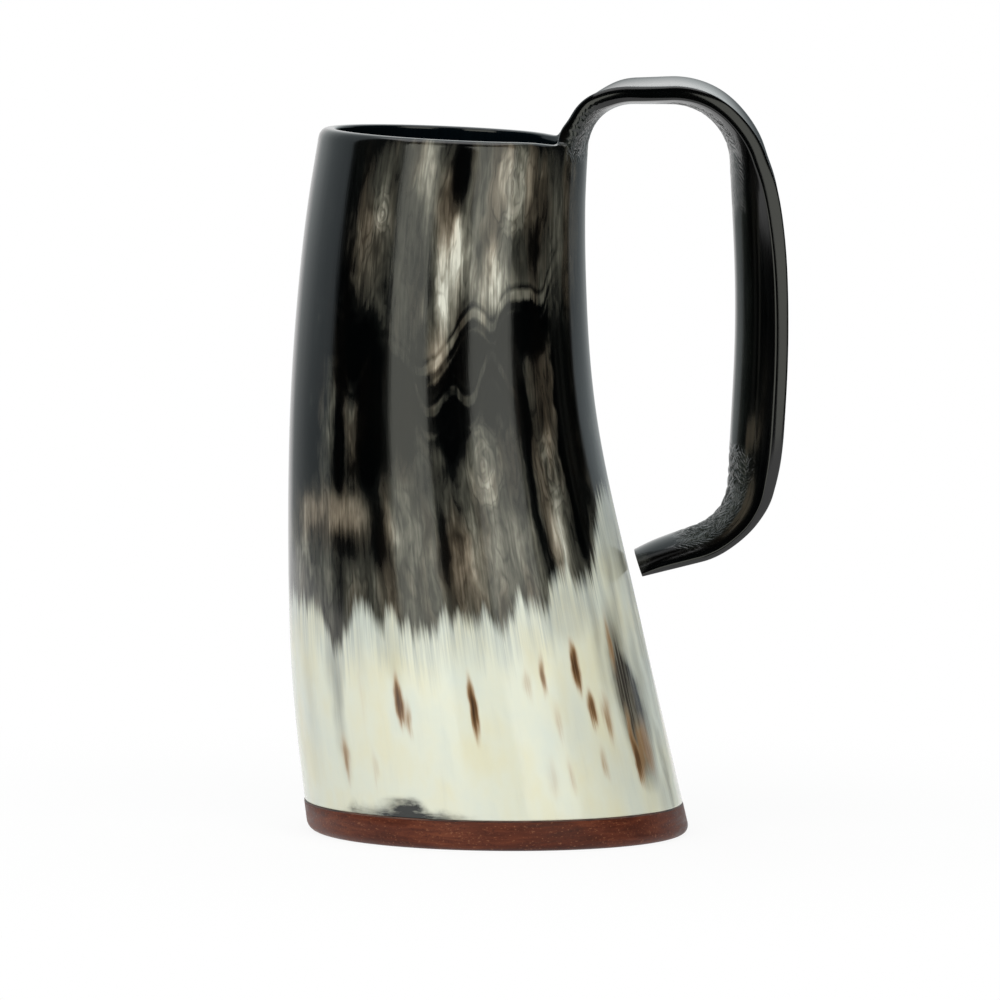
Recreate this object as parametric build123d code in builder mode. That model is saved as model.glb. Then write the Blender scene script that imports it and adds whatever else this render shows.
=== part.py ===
import os
from math import cos, pi, radians, sin, sqrt

from build123d import *

os.makedirs("parts", exist_ok=True)

# Horn cup with its handle bent out of the same horn, on a glued wood base.
# Millimetres. The origin is the centre of the underside, +Z is up and +X points to the handle.

# Outside of the cup: the widths of its oval sections, from the foot up to the rim
foot_width = 83.8
skirt_width = 81.2
belly_width = 77.4
waist_width = 67.2
neck_width = 61.8
rim_width = 58.8

# Heights of those sections, and the slope of the rim, which falls towards the handle
skirt_height = 23.0
belly_height = 46.0
waist_height = 92.0
neck_height = 130.0
rim_height = 152.6
rim_tilt = 2.0

# Curve of the horn: how far each section stands back from the centre of the foot
skirt_lean = 4.3
belly_lean = 7.9
waist_lean = 13.2
neck_lean = 13.3
rim_lean = 11.2

# Depth of every section, front to back, over its width, and the side on which its seam lies
depth_ratio = 0.95
seam_turn = 180

# Wall of the horn, the rounding of its lip and the length trimmed off above the rim
foot_wall = 4.6
rim_wall = 3.5
lip_round = 1.2
rim_trim = 2.5

# Handle strip, where it leaves the wall, on the arch, at the grip, in the bend above the hook
# and at the tip: its width, the crown of its convex inner face, the thickness of its edges
# and the hollow of its outer face
root_width = 28.0
arch_width = 28.0
grip_width = 27.0
heel_width = 25.0
tip_width = 21.0
arch_crown = 2.0
grip_crown = 9.3
heel_crown = 5.8
tip_crown = 4.3
root_edge = 2.1
arch_edge = 3.0
grip_edge = 3.0
heel_edge = 1.8
tip_edge = 1.7
arch_hollow = 1.2
grip_hollow = 5.4
heel_hollow = 2.2
tip_hollow = 0.8
strip_round = 0.6

# The strip's root runs down inside the wall: its straight length there, its depth under the surface
root_straight = 1.5
root_step = 0.15

# Line of the handle: the crest of its inner face, seen from the side
arch_rise = 7.7
arch_bend = 9.4
finger_room = 30.2
shoulder_bend = 11.8
grip_bow = 2.6
grip_bow_height = 115.0
grip_bend = 300.0
hook_height = 70.3
hook_return = 2.0
hook_bend = 10.0
hook_drop = 7.5
hook_gap = 1.7

# Places along that line, as shares of its length, and the spacing of the sections on it
arch_place = 0.08
shoulder_place = 0.15
grip_place = 0.48
grip_end_place = 0.78
heel_place = 0.88
section_spacing = 3.6

# Wood base: the band that shows, its rounded lower edge and the spigot inside the horn
band_height = 6.4
band_round = 2.2
spigot_height = 7.0

# Adhesive in the joint: the film under the horn's foot and the gap round the spigot
glue_film = 0.3
glue_gap = 0.4

# Bead of resin inside, round the top of the spigot
bead_height = 2.5
bead_foot = 2.5
bead_top = 0.6

# Worked out from the sizes above
horn_foot = band_height + glue_film
spigot_top = band_height + spigot_height
seal_top = spigot_top + bead_height
root_reach = rim_width / 2 - rim_lean - root_step
root_crown = rim_width / 2 * (1 - sqrt(1 - (root_width / rim_width / depth_ratio) ** 2))
root_hollow = root_crown + root_edge - (rim_wall - 2 * root_step)
arch_height = rim_height + arch_rise
root_height = arch_height - arch_bend - root_straight
tip_height = hook_height - hook_drop
heights = (0, skirt_height, belly_height, waist_height, neck_height, rim_height + rim_trim)
leans = (0, skirt_lean, belly_lean, waist_lean, neck_lean, rim_lean)
widths = (foot_width, skirt_width, belly_width, waist_width, neck_width, rim_width)
rim_normal = (sin(radians(rim_tilt)), 0, cos(radians(rim_tilt)))


def between(place, places, values, ease=False):
    """Value at a place, straight or eased between the nearest two of the given places."""
    for low, high, start, end in zip(places, places[1:], values, values[1:]):
        if place <= high:
            share = (place - low) / (high - low)
            if ease:
                share = (1 - cos(pi * share)) / 2
            return start + (end - start) * share
    return values[-1]


def wall_at(height):
    """Thickness of the horn's wall at a height."""
    return between(height, (0, rim_height), (foot_wall, rim_wall))


def wall_reach(height):
    """How far the outside of the cup reaches towards the handle at a height."""
    return between(height, heights, widths) / 2 - between(height, heights, leans)


def horn_oval(height, inset):
    """Oval section of the horn at a height, set in from its outside."""
    width = between(height, heights, widths)
    with BuildSketch(Plane.XY.offset(height)) as section:
        with Locations((-between(height, heights, leans), 0)):
            Ellipse(width / 2 - inset, width * depth_ratio / 2 - inset, rotation=seam_turn)
    return section.sketch.face()


def horn_outside():
    """Oval sections of the outside of the horn."""
    return [horn_oval(height, 0) for height in heights]


def horn_bore(clearance=0):
    """Oval sections of the bore, the inside of the horn, set in further by a clearance."""
    return [horn_oval(height, wall_at(height) + clearance) for height in heights]


def along_strip(place, rim_place, root, arch, grip, heel, tip):
    """Value at a place on the strip: steady up to the rim, over the arch and down the grip."""
    places = (0, rim_place, arch_place, shoulder_place, grip_place, grip_end_place, heel_place, 1)
    return between(place, places, (root, root, arch, arch, grip, grip, heel, tip), ease=True)


def strip_section(plane, place, rim_place):
    """One cross-section of the handle strip, with the crest of its inner face at the plane's origin."""
    half = along_strip(place, rim_place, root_width, arch_width, grip_width, heel_width, tip_width) / 2
    crown = along_strip(place, rim_place, root_crown, arch_crown, grip_crown, heel_crown, tip_crown)
    edge = along_strip(place, rim_place, root_edge, arch_edge, grip_edge, heel_edge, tip_edge)
    hollow = along_strip(place, rim_place, root_hollow, arch_hollow, grip_hollow, heel_hollow, tip_hollow)
    with BuildSketch(plane) as section:
        with BuildLine():
            ThreePointArc((-half, crown), (0, 0), (half, crown))
            Line((half, crown), (half, crown + edge))
            ThreePointArc((half, crown + edge), (0, crown + edge - hollow), (-half, crown + edge))
            Line((-half, crown + edge), (-half, crown))
        make_face()
        fillet(section.vertices(), strip_round)
    return section.sketch.face()


# Crest line of the handle, from inside the wall over the arch and down the grip to the hook
with BuildLine(Plane.XZ) as crest_line:
    FilletPolyline(
        (root_reach, root_height),
        (root_reach, arch_height),
        (root_reach + finger_room, arch_height),
        (root_reach + finger_room + grip_bow, grip_bow_height),
        (root_reach + finger_room + grip_bow - hook_return, hook_height),
        (wall_reach(tip_height) + hook_gap, tip_height),
        radius=(arch_bend, shoulder_bend, grip_bend, hook_bend),
    )
crest = crest_line.wire()

# Sections of the handle strip, evenly spaced along its crest line
strip_sections = []
rim_share = (rim_height - root_height) / crest.length
section_count = round(crest.length / section_spacing)
for step in range(section_count + 1):
    along = crest.length * step / section_count
    spot = crest.position_at(along, PositionMode.LENGTH)
    heading = crest.tangent_at(along, PositionMode.LENGTH)
    across_strip = Plane(spot, x_dir=(0, 1, 0), z_dir=heading)
    strip_sections.append(strip_section(across_strip, along / crest.length, rim_share))

# Horn: the hollow cup with its rounded lip, and the strip of its wall bent over into the handle
with BuildPart() as horn_body:
    loft(horn_outside())
    loft(horn_bore(), mode=Mode.SUBTRACT)
    split(bisect_by=Plane.XY.offset(horn_foot), keep=Keep.TOP)
    split(bisect_by=Plane((-rim_lean, 0, rim_height), z_dir=rim_normal), keep=Keep.BOTTOM)
    fillet(horn_body.faces().sort_by(Axis.Z)[-1].edges(), lip_round)
    add(loft(strip_sections, mode=Mode.PRIVATE))
horn_body.part.label = "horn_body"
export_step(horn_body.part, "parts/horn_body.step")

# Spigot of the base, which enters the bore
with BuildPart() as spigot:
    loft(horn_bore(clearance=glue_gap))
    split(bisect_by=Plane.XY.offset(band_height), keep=Keep.TOP)
    split(bisect_by=Plane.XY.offset(spigot_top), keep=Keep.BOTTOM)

# Wood base: the band under the horn, flush with it, and the spigot on top of it
with BuildPart() as wood_base:
    loft(horn_outside())
    split(bisect_by=Plane.XY.offset(band_height), keep=Keep.BOTTOM)
    fillet(wood_base.edges().group_by(Axis.Z)[0], band_round)
    add(spigot.part)
wood_base.part.label = "wood_base"
export_step(wood_base.part, "parts/wood_base.step")

# Bore of the horn from its foot up to the top of the spigot
with BuildPart() as socket:
    loft(horn_bore())
    split(bisect_by=Plane.XY.offset(horn_foot), keep=Keep.TOP)
    split(bisect_by=Plane.XY.offset(spigot_top), keep=Keep.BOTTOM)

# Adhesive: the film between the band and the horn's foot, and the sleeve round the spigot
with BuildPart() as glue_bed:
    loft(horn_outside())
    split(bisect_by=Plane.XY.offset(band_height), keep=Keep.TOP)
    split(bisect_by=Plane.XY.offset(horn_foot), keep=Keep.BOTTOM)
    add(socket.part)
    add(spigot.part, mode=Mode.SUBTRACT)
glue_bed.part.label = "glue_bed"
export_step(glue_bed.part, "parts/glue_bed.step")

# Resin bead that seals the joint from inside, in the corner between the spigot and the wall
with BuildPart() as seal_bead:
    loft(horn_bore())
    loft(horn_bore(clearance=bead_foot), mode=Mode.SUBTRACT)
    split(bisect_by=Plane.XY.offset(spigot_top), keep=Keep.TOP)
    split(bisect_by=Plane.XY.offset(seal_top), keep=Keep.BOTTOM)
    bead_edge = seal_bead.edges().group_by(Axis.Z)[-1].sort_by(SortBy.LENGTH)[0]
    chamfer(bead_edge, bead_foot - bead_top)
seal_bead.part.label = "seal_bead"
export_step(seal_bead.part, "parts/seal_bead.step")
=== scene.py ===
from math import asin, atan2, cos, pi, radians, sin, sqrt, tan

import bmesh
import bpy
from mathutils import Matrix, Vector, noise


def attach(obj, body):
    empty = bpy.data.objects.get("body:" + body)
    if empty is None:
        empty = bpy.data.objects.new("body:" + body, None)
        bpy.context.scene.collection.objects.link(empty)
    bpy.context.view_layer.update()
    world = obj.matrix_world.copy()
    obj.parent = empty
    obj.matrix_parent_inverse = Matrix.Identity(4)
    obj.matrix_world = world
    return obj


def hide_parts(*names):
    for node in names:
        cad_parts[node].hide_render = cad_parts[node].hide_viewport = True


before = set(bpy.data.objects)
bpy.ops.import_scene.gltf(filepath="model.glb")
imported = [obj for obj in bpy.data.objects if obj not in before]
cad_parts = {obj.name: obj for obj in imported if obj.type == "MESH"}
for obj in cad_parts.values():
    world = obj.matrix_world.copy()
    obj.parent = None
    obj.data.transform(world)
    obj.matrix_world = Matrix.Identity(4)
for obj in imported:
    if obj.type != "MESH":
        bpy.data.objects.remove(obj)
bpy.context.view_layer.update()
MM = 0.001

# Sizes of the horn in millimetres, as in the solids: its foot and rim, the fall of the rim to the handle,
# the lean and width of its sections at heights, their depth over their width, and its wall at foot and rim
FOOT, RIM, RIM_FALL = 6.7, 152.6, tan(radians(2.0))
HEIGHTS = (0, 23, 46, 92, 130, 155.1)
LEANS = (0, 4.3, 7.9, 13.2, 13.3, 11.2)
WIDTHS = (83.8, 81.2, 77.4, 67.2, 61.8, 58.8)
DEPTH = 0.9495
FOOT_WALL, RIM_WALL = 4.6, 3.5

# The rim: its lean, half its width, half the width and depth of the bore there, half the width of the
# strip that goes on from it, and the turn from the handle at which the strip ends
RIM_LEAN, RIM_HALF, BORE_HALF, BORE_DEPTH, STRIP_HALF = 11.2, 29.4, 25.9, 24.43, 14.0
STRIP_TURN = asin(STRIP_HALF / (RIM_HALF * DEPTH))


def smooth(low, high, value):
    """0 at and before low, 1 at and past high, and eased between them; low may be the greater."""
    share = min(max((value - low) / (high - low), 0), 1)
    return share * share * (3 - 2 * share)


def curve(place, places, values):
    """Value at a place on a smooth curve through the given values."""
    i = 0
    while i < len(places) - 2 and place > places[i + 1]:
        i += 1

    def slope(k):
        a, b = max(k - 1, 0), min(k + 1, len(places) - 1)
        return (values[b] - values[a]) / (places[b] - places[a])

    span = places[i + 1] - places[i]
    t = (place - places[i]) / span
    start, end = values[i], values[i + 1]
    return (
        (2 * t**3 - 3 * t**2 + 1) * start
        + (t**3 - 2 * t**2 + t) * span * slope(i)
        + (3 * t**2 - 2 * t**3) * end
        + (t**3 - t**2) * span * slope(i + 1)
    )


class BentLine:
    """Line of straight runs and round bends in the plane of the handle, measured by its length."""

    def __init__(self, points, bends):
        points = [Vector(p) for p in points]
        self.spans = []
        here = points[0]
        for i, bend in enumerate(bends, 1):
            into = (points[i] - points[i - 1]).normalized()
            out = (points[i + 1] - points[i]).normalized()
            turn = into.angle_signed(out)
            leg = bend * tan(abs(turn) / 2)
            self.spans.append(((points[i] - into * leg - here).length, here, into, 0, 0))
            self.spans.append((bend * abs(turn), points[i] - into * leg, into, bend, turn))
            here = points[i] + out * leg
        self.spans.append(((points[-1] - here).length, here, (points[-1] - here).normalized(), 0, 0))
        self.length = sum(span[0] for span in self.spans)

    def at(self, length):
        """Place and heading at a length along the line."""
        for span, start, heading, bend, turn in self.spans[:-1]:
            if length <= span:
                break
            length -= span
        else:
            span, start, heading, bend, turn = self.spans[-1]
        if not bend:
            return start + heading * length, heading
        side = Vector((heading.y, -heading.x)) * (1 if turn > 0 else -1)
        angle = length / bend
        spot = start + heading * bend * sin(angle) + side * bend * (1 - cos(angle))
        return spot, heading * cos(angle) + side * sin(angle)


# Crest of the handle's inner face, from the rim over the arch and down the grip to the hook, and how far
# along it the strip starts
CREST = BentLine(
    ((18.2, 150.2), (18.2, 160.14), (48.2, 160.14), (50.85, 115.0), (48.85, 70.3), (28.7, 62.8)),
    (9.6, 13.0, 300, 10.5),
)
CREST_START = 1.0
STRIP_LENGTH = CREST.length - CREST_START

# Small forms of the strip: the twist of its root, the slant of its edges as a share of their thickness,
# the rounding of its tip and how much thinner the arch is along its front edge
ROOT_TWIST, EDGE_TILT, TIP_ROUND, FRONT_THIN = 0.95, 0.3, 0.8, 0.45
# Lengths between which the strip's own outer face grows, its edges become round, its tip is drawn in, its
# root twists and twists back, and the arch gets thinner and thicker again; and the share of the strip's
# half width from which its edges are round
FACE_GROWS, EDGES_ROUND, TIP_DRAWN = (0, 4), (0, 3), (STRIP_LENGTH - 6, STRIP_LENGTH + 3)
TWIST_IN, TWIST_OUT, THIN_IN, THIN_OUT = (0, 2.5), (15, 7), (6, 22), (46, 30)
ROUND_FROM = 0.8

# Lip at shares of the wall's rows: its place in the wall and its drop; then the height where it starts,
# the rise of its inner corner there, the lift of the rim and how much more its front lifts than its side
LIP_ROWS = (0, 0.25, 0.5, 0.75, 1)
LIP_PLACES = (0, 0.14, 0.33, 0.68, 1)
LIP_DROPS = (1.5, 0.55, 0.08, 0.02, 0.2)
LIP_ROOT, LIP_CORNER = RIM - 2.6, 1.7
RIM_LIFT, FRONT_LIFT = 0.65, 0.4

# Handle strip at lengths from the rim: half its width, the crown of its inner face, the thickness
# of its edges, the hollow of its outer face and the rounding of its edges
STRIP = (
    (0, 14.0, 3.95, 2.1, 2.6, 0.7),
    (2.5, 14.0, 3.0, 2.3, 2.2, 0.9),
    (6, 14.0, 2.9, 2.4, 1.8, 0.9),
    (10, 14.0, 1.7, 3.1, 1.4, 0.8),
    (16, 14.0, 1.5, 3.4, 0.9, 0.6),
    (24, 14.0, 1.9, 3.4, 0.8, 0.5),
    (30, 14.0, 2.5, 3.4, 1.1, 0.5),
    (36, 13.9, 3.3, 3.4, 2.0, 0.45),
    (41, 13.8, 4.7, 3.4, 2.8, 0.4),
    (47, 13.7, 6.6, 3.35, 3.8, 0.3),
    (54, 13.6, 7.75, 3.2, 4.5, 0.25),
    (62, 13.5, 8.4, 3.05, 4.9, 0.25),
    (75, 13.5, 8.8, 2.85, 5.2, 0.25),
    (92, 13.5, 9.0, 2.75, 5.2, 0.25),
    (105, 13.4, 8.8, 2.7, 5.0, 0.3),
    (113, 13.1, 7.9, 2.4, 4.2, 0.3),
    (117, 12.8, 7.0, 1.7, 3.3, 0.3),
    (121, 12.5, 6.15, 1.4, 2.6, 0.3),
    (126, 12.1, 5.9, 1.3, 2.0, 0.3),
    (STRIP_LENGTH, 10.5, 4.7, 1.2, 0.8, 0.2),
)
STRIP_LENGTHS, *STRIP_SECTIONS = zip(*STRIP)

# Heights where the rim starts to fall and to lift, and the turn past the strip over which the lift sets in
FALL_START, LIFT_START, LIFT_TURN = 60, RIM - 30, 0.4


def wall_place(height, turn, inset):
    """Point on the cup's wall at a height and a turn from the handle, set in from the outside."""
    lean, half = curve(height, HEIGHTS, LEANS), curve(height, HEIGHTS, WIDTHS) / 2
    return Vector((-lean + (half - inset) * cos(turn), (half * DEPTH - inset) * sin(turn), height))


def cup_place(height, turn, depth):
    """Point in the cup's wall, from its outside at depth 0 to the bore at depth 1, on a sloping rim."""
    inset = depth * (FOOT_WALL - (FOOT_WALL - RIM_WALL) * height / RIM)
    fall = RIM_FALL * (wall_place(height, turn, 0).x + RIM_LEAN) * smooth(FALL_START, RIM, height)
    lift = (RIM_LIFT - FRONT_LIFT * sin(turn)) * smooth(LIFT_START, RIM, height)
    lift *= smooth(STRIP_TURN, STRIP_TURN + LIFT_TURN, abs(turn))
    return wall_place(height - fall + lift, turn, inset)


def strip_place(length, turn, depth):
    """Point in the strip, from its convex inner face at depth 0 to its hollow outer face at depth 1."""
    spot, heading = CREST.at(length + CREST_START)
    outward = Vector((-heading.y, 0, heading.x))
    across = sin(turn) / sin(STRIP_TURN)
    half, crown, edge, hollow, rounding = (curve(length, STRIP_LENGTHS, values) for values in STRIP_SECTIONS)

    # Inner face: an arc over the width, drawn in at the tip
    y = half * across
    bow = (half**2 + crown**2) / (2 * crown)
    inner = bow - sqrt(bow**2 - y**2) + TIP_ROUND * smooth(*TIP_DRAWN, length)

    # Outer face: the cup's bore at the rim, which soon grows into the strip's own hollow face
    grown = smooth(*FACE_GROWS, length)
    bore, bore_y = RIM_HALF - BORE_HALF * cos(turn), BORE_DEPTH * sin(turn)
    outer = bore + (crown + edge - hollow * (1 - across**2) - bore) * grown
    outer -= ROOT_TWIST * across * smooth(*TWIST_IN, length) * smooth(*TWIST_OUT, length)
    outer -= FRONT_THIN * max(-across, 0) * smooth(*THIN_IN, length) * smooth(*THIN_OUT, length)
    outer_y = bore_y + (y - EDGE_TILT * edge * across - bore_y) * grown

    # Both faces draw in where the edge is rounded
    rounding *= smooth(ROUND_FROM, 1, abs(across)) * smooth(*EDGES_ROUND, length) * (2 * depth - 1) ** 2
    lift = inner + (outer - inner) * depth
    beside = y + (outer_y - y) * depth - (rounding if y > 0 else -rounding)
    return Vector((spot.x, 0, spot.y)) + outward * lift + Vector((0, beside, 0))


# How far the rows next to the skins move out, which makes the edges crisp, and the rises between which that
# sets in along the strip and ends above the foot; the turn past the strip over which the lip sets in, and
# how near to a row a rise counts as on it
CRISP, CRISP_STRIP, CRISP_FOOT = 0.17, (RIM + 10, RIM + 40), (FOOT, FOOT + 1)
LIP_TURN, NEAR = 0.2, 0.1


def horn_place(rise, turn, depth):
    """Point in the horn at a rise from the foot to the tip, and that rise as the lip has changed it."""
    crisp = smooth(*CRISP_STRIP, rise) + 1 - smooth(*CRISP_FOOT, rise)
    if 0.1 < depth < 0.4:
        depth -= CRISP * crisp
    if 0.6 < depth < 0.9:
        depth += CRISP * crisp
    if rise > RIM + NEAR:
        return strip_place(rise - RIM, turn, depth), rise
    free = smooth(STRIP_TURN, STRIP_TURN + LIP_TURN, abs(turn))
    if rise > RIM - NEAR:
        rise -= free * curve(depth, LIP_ROWS, LIP_DROPS)
        depth += free * (curve(depth, LIP_ROWS, LIP_PLACES) - depth)
    elif rise > LIP_ROOT - NEAR:
        rise += free * depth * LIP_CORNER
    return cup_place(rise, turn, depth), rise


def rows_between(start, end, spacing):
    """Evenly spaced values after start, up to and including end."""
    count = max(round((end - start) / spacing), 1)
    return [start + (end - start) * (i + 1) / count for i in range(count)]


def cup_rows():
    """Heights of the rows up the cup, close together at the foot and the lip."""
    lip = [RIM - drop for drop in (10, 7, 5, 3.6)]
    return [FOOT + 0.5, FOOT + 2.5, *rows_between(FOOT + 2.5, RIM - 14, 9), *lip, LIP_ROOT, RIM]


def strip_rows():
    """Lengths of the rows along the strip, close together where it is folded and at its tip."""
    runs = (
        (2.2, 17, 0.95), (17, 21, 4), (21, 43, 1.1), (43, 55, 3), (55, STRIP_LENGTH - 39, 5),
        (STRIP_LENGTH - 39, STRIP_LENGTH - 7, 0.95),
    )
    tip = [STRIP_LENGTH - left for left in (4.5, 2.6, 1.4, 0.7, 0.3, 0)]
    return [1.2, 2.2, *(length for run in runs for length in rows_between(*run)), *tip]


def horn_turns():
    """Turns of the horn's columns from the handle: closer at the strip's edges, even round the rest."""
    near = [asin(share * sin(STRIP_TURN)) for share in (0.16, 0.32, 0.47, 0.61, 0.74, 0.86, 0.95, 1.0)]
    far = rows_between(STRIP_TURN, pi, radians(10))
    return [0] + near + far + [-turn for turn in reversed(near + far[:-1])]


def extend(bm, edges):
    """Draws a row of edges out by one row of faces: its new vertices and its new edges."""
    grown = bmesh.ops.extrude_edge_only(bm, edges=edges)["geom"]
    verts = [g for g in grown if isinstance(g, bmesh.types.BMVert)]
    return verts, [g for g in grown if isinstance(g, bmesh.types.BMEdge) and all(v in verts for v in g.verts)]


def finished(name, bm):
    """Mesh of a skin, with its normals outward and its faces smooth but for the flat caps."""
    bmesh.ops.recalc_face_normals(bm, faces=bm.faces)
    for face in bm.faces:
        face.smooth = len(face.verts) == 4
    mesh = bpy.data.meshes.new(name)
    bm.to_mesh(mesh)
    bm.free()
    return mesh


# Radius on which places across the horn's figure are measured, in millimetres
GRAIN_RADIUS = 30


def horn_mesh():
    """The horn as one skin, drawn up from the foot to the rim and on into the strip, then thickened."""
    bm = bmesh.new()
    turn_of = bm.verts.layers.float.new("turn")
    rise_of = bm.verts.layers.float.new("rise")
    depth_of = bm.verts.layers.float.new("depth")
    grain_of = bm.verts.layers.float_vector.new("grain")
    turns = horn_turns()
    ring = bmesh.ops.create_circle(bm, segments=len(turns), radius=1)["verts"]
    for vert, turn in zip(ring, turns):
        vert[turn_of] = turn
        vert[rise_of] = FOOT

    def draw(edges, rises):
        for rise in rises:
            verts, edges = extend(bm, edges)
            for vert in verts:
                vert[rise_of] = rise
        return edges

    # Up the cup, and on into the strip from the part of the rim that faces the handle
    edges = draw(list(bm.edges), cup_rows())
    edges = [e for e in edges if all(abs(v[turn_of]) < STRIP_TURN + 0.001 for v in e.verts)]
    draw(edges, [RIM + length for length in strip_rows()])

    # Thickness: a second skin, joined to the first along the foot, the lip and the strip's edges
    skin = bm.faces[:] + bm.edges[:] + bm.verts[:]
    grown = bmesh.ops.extrude_face_region(bm, geom=skin, use_keep_orig=True)
    for vert in (g for g in grown["geom"] if isinstance(g, bmesh.types.BMVert)):
        vert[depth_of] = 1
    sides = [e for e in bm.edges if e.verts[0][depth_of] != e.verts[1][depth_of]]
    bmesh.ops.subdivide_edges(bm, edges=sides, cuts=3, use_grid_fill=True)
    for vert in bm.verts:
        turn = vert[turn_of]
        place, rise = horn_place(vert[rise_of], turn, vert[depth_of])
        vert.co = place * MM
        vert[grain_of] = (GRAIN_RADIUS * cos(turn), GRAIN_RADIUS * sin(turn), rise)
    return finished("horn_body_skin", bm)


def link(name, mesh):
    """A piece with the mesh, put into the scene."""
    piece = bpy.data.objects.new(name, mesh)
    bpy.context.scene.collection.objects.link(piece)
    return piece


def rounded(piece, levels):
    """The piece with its subdivision surface made part of its mesh."""
    surface = piece.modifiers.new("round", "SUBSURF")
    surface.levels = surface.render_levels = levels
    bpy.context.view_layer.update()
    graph = bpy.context.evaluated_depsgraph_get()
    shape = piece.evaluated_get(graph)
    mesh = bpy.data.meshes.new_from_object(shape, preserve_all_data_layers=True, depsgraph=graph)
    piece.modifiers.clear()
    piece.data = mesh
    return piece


# Compression folds of the bends: from and to along the strip, spacing, depth, how dull they leave the
# polish and how strongly the painted sheen shows on them, and how far they reach round the strip's edge
FOLDS = (
    (-5, 10, 1.8, 0.12, 0.45, 0.6),
    (18, 42, 2.0, 0.24, 0.35, 0.4),
    (38, 56, 1.7, 0.08, 0.10, 0.3),
    (STRIP_LENGTH - 37, STRIP_LENGTH - 8, 2.3, 0.45, 0.45, 0.4),
)
# How soon they set in along the strip, the width and slant of a herringbone, half the strip's width for
# them and the length before the rim where they may start
FOLD_EASE, BONE_WIDTH, BONE_SLANT, FOLD_HALF, FOLD_START = 6, 6, 0.7, 13, -7
# Their wander: its noise per millimetre along and across, and how far it moves them aside, in millimetres,
# and along, in spacings; their breaks: the noise per millimetre, their level, its change and the least of it
WANDER_ALONG, WANDER_ACROSS, WANDER_ASIDE, WANDER_SHIFT = 0.33, 0.28, 1.5, 0.9
BREAK_NOISE, BREAK_LEVEL, BREAK_CHANGE, BREAK_LEAST = 0.55, 0.8, 0.9, 0.2
# Folds that reach less far than this round the edge fade towards it, between two shares of the half width
EDGE_REACH, EDGE_FADE = 0.5, (0.9, 0.6)


def fold_ridge(length, y, start, spacing):
    """Herringbone ridges, 1 in their valleys, at a length along the strip and a place across it."""
    wander = noise.noise(Vector((length * WANDER_ALONG, y * WANDER_ACROSS, start)))
    slant = BONE_SLANT * abs((y + WANDER_ASIDE * wander) % BONE_WIDTH - BONE_WIDTH / 2)
    ridge = 1 - abs(sin(pi * ((length + slant) / spacing + WANDER_SHIFT * wander)))
    broken = noise.noise(Vector((length * BREAK_NOISE, y * BREAK_NOISE, start + 30)))
    return ridge * max(BREAK_LEVEL + BREAK_CHANGE * broken, BREAK_LEAST)


def fold(piece):
    """Presses the compression folds into the inner side of the strip and notes where they dull it and where
    its colour gets the painted sheen.
    """
    data = piece.data
    data.attributes.new("fold", "FLOAT", "POINT")
    grains, depths, folded = (data.attributes[name].data for name in ("grain", "depth", "fold"))
    pressed = []
    for i, vert in enumerate(data.vertices):
        x, y, rise = grains[i].vector
        length, depth, turn = rise - RIM, depths[i].value, atan2(y, x)
        if length < FOLD_START or abs(turn) > STRIP_TURN + 0.01:
            continue
        across = sin(turn) / sin(STRIP_TURN)
        push = 0
        for start, end, spacing, deep, dull, reach in FOLDS:
            here = smooth(start, start + FOLD_EASE, length) * smooth(end, end - FOLD_EASE, length)
            here *= smooth(reach, reach / 3, depth)
            if reach < EDGE_REACH:
                here *= smooth(*EDGE_FADE, abs(across))
            if here:
                push += deep * here * fold_ridge(length, FOLD_HALF * across, start, spacing)
                folded[i].value = max(folded[i].value, dull * here)
        if push:
            pressed.append((vert, vert.co - vert.normal * push * MM))
    for vert, place in pressed:
        vert.co = place


horn = rounded(link("horn", horn_mesh()), levels=2)
fold(horn)
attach(horn, "root")
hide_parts("horn_body")

# Sides of the rings of the base and the glue
OVAL_SIDES = 144


def oval_mesh(name, rows, closed=False):
    """Skin through oval rings, each given by its height and how far it is set in from the cup's outside."""
    bm = bmesh.new()
    turn_of = bm.verts.layers.float.new("turn")
    ring = bmesh.ops.create_circle(bm, segments=OVAL_SIDES, radius=1)["verts"]
    for i, vert in enumerate(ring):
        vert[turn_of] = 2 * pi * i / OVAL_SIDES
    first = edges = list(bm.edges)
    for i, (height, inset) in enumerate(rows):
        if i:
            ring, edges = extend(bm, edges)
        for vert in ring:
            vert.co = wall_place(height, vert[turn_of], inset) * MM
    if closed:
        bmesh.ops.bridge_loops(bm, edges=first + edges)
    else:
        bmesh.ops.holes_fill(bm, edges=first + edges, sides=OVAL_SIDES)
    return finished(name, bm)


# Wood base: the flat underside, its rounded edge, the band, the shoulder under the horn and the spigot
BAND, BAND_ROUND, SPIGOT = 6.4, 2.2, 13.4
SHOULDER_INSET, SPIGOT_INSET, CAP_INSET = FOOT_WALL + 0.35, FOOT_WALL + 0.4, 30
# How far the upper edges of the band and the spigot are broken, and the steps of the rounded edge
BAND_BREAK, SPIGOT_BREAK, ROUND_STEPS = 0.1, 0.3, 8
rows = [(0, CAP_INSET), (0, 8), (0, 3.0)]
for step in range(ROUND_STEPS + 1):
    angle = pi / 2 * (1 - step / ROUND_STEPS)
    rows.append((BAND_ROUND * (1 - sin(angle)), BAND_ROUND * (1 - cos(angle))))
rows += [(BAND - 2, 0), (BAND - BAND_BREAK, 0), (BAND, BAND_BREAK)]
rows += [(BAND, SHOULDER_INSET), (BAND + BAND_BREAK, SPIGOT_INSET)]
rows += [(SPIGOT - SPIGOT_BREAK, SPIGOT_INSET), (SPIGOT, SPIGOT_INSET + SPIGOT_BREAK), (SPIGOT, CAP_INSET)]
base = link("base", oval_mesh("wood_base_disc", rows))
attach(base, "root")
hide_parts("wood_base")

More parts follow.
